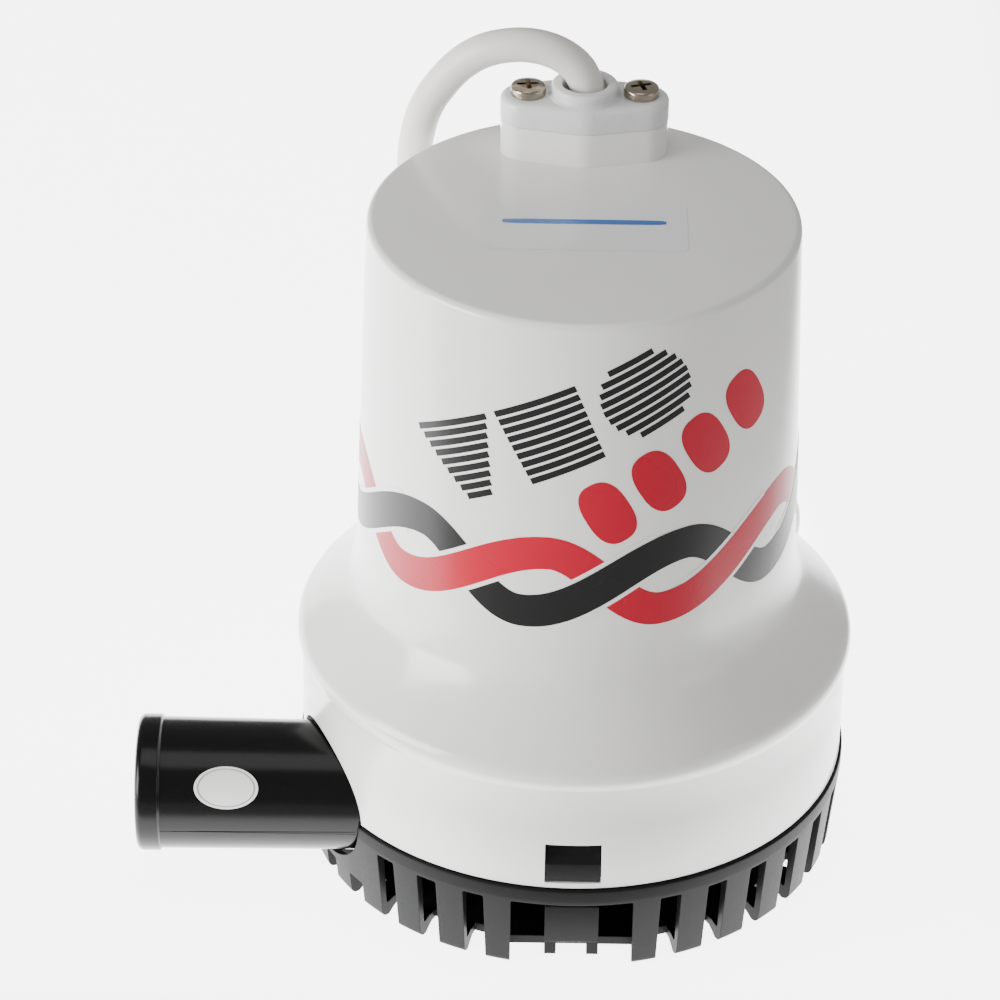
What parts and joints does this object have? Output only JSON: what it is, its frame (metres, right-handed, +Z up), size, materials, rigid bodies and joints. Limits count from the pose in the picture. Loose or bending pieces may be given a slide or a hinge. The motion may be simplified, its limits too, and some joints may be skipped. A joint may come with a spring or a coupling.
{
  "type": "submersible bilge pump",
  "caption": "Round submersible bilge pump with a bell-shaped motor housing, side hose outlet and snap-off slotted strainer base.",
  "frame": {"origin": "on the pump's axis, in the plane that the strainer's feet stand on", "axes": "+Z up along the pump's axis, the hose outlet points to -X, the latches of the strainer are at -Y and +Y"},
  "size_m": [0.2058, 0.2993, 0.2362],
  "materials": {
    "white_abs": "gloss moulded",
    "black_abs": "gloss moulded",
    "grey_nylon": "satin moulded",
    "rubber": "matt",
    "brass": "stamped",
    "stainless": "polished",
    "steel": "zinc plated",
    "ferrite": "ground ceramic",
    "phenolic": "cut sheet",
    "carbon": "pressed carbon",
    "copper": "drawn wire and turned bar",
    "brown_pvc": "extruded",
    "black_pvc": "extruded",
    "cord_sheath": "extruded"
  },
  "bodies": {
    "strainer": {"strainer_base": "grey_nylon", "cord_coil": "cord_sheath", "conductor_brown": "brown_pvc", "conductor_black": "black_pvc"},
    "pump": {"motor_housing": "white_abs", "gland_cap": "white_abs", "gland_grommet": "rubber", "gland_washer": "brass", "gland_screw_left": "stainless", "gland_screw_right": "stainless", "volute_casing": "black_abs", "volute_cover": "black_abs", "casing_screw_1": "stainless", "casing_screw_2": "stainless", "casing_screw_3": "stainless", "casing_screw_4": "stainless", "housing_o_ring": "rubber", "shaft_seal": "rubber", "motor_bracket": "steel", "motor_can": "steel", "magnet_front": "ferrite", "magnet_rear": "ferrite", "lower_bearing": "steel", "upper_bearing": "steel", "brush_card": "phenolic", "brush_left": "carbon", "brush_right": "carbon", "brush_spring_left": "steel", "brush_spring_right": "steel", "lead_brown": "brown_pvc", "lead_black": "black_pvc", "power_cord": "cord_sheath"},
    "rotor": {"rotor_shaft": "stainless", "armature_core": "steel", "armature_winding": "copper", "commutator": "copper", "impeller": "black_abs", "impeller_nut": "stainless"},
    "latch_front": {"latch_tab_front": "grey_nylon"},
    "latch_rear": {"latch_tab_rear": "grey_nylon"}
  },
  "joints": [
    {"name": "pump_lift", "type": "slide", "parent": "strainer", "child": "pump", "axis": [0, 0, 1], "range_m": [0, 0.072]},
    {"name": "rotor_spin", "type": "hinge", "parent": "pump", "child": "rotor", "pos_m": [0, 0, 0], "axis": [0, 0, 1], "continuous": true},
    {"name": "latch_front_press", "type": "hinge", "parent": "strainer", "child": "latch_front", "pos_m": [0, -0.0686, 0.0066], "axis": [-1, 0, 0], "range_deg": [0, 8], "stiffness_Nm_per_rad": 0.5},
    {"name": "latch_rear_press", "type": "hinge", "parent": "strainer", "child": "latch_rear", "pos_m": [0, 0.0686, 0.0066], "axis": [1, 0, 0], "range_deg": [0, 8], "stiffness_Nm_per_rad": 0.5}
  ]
}
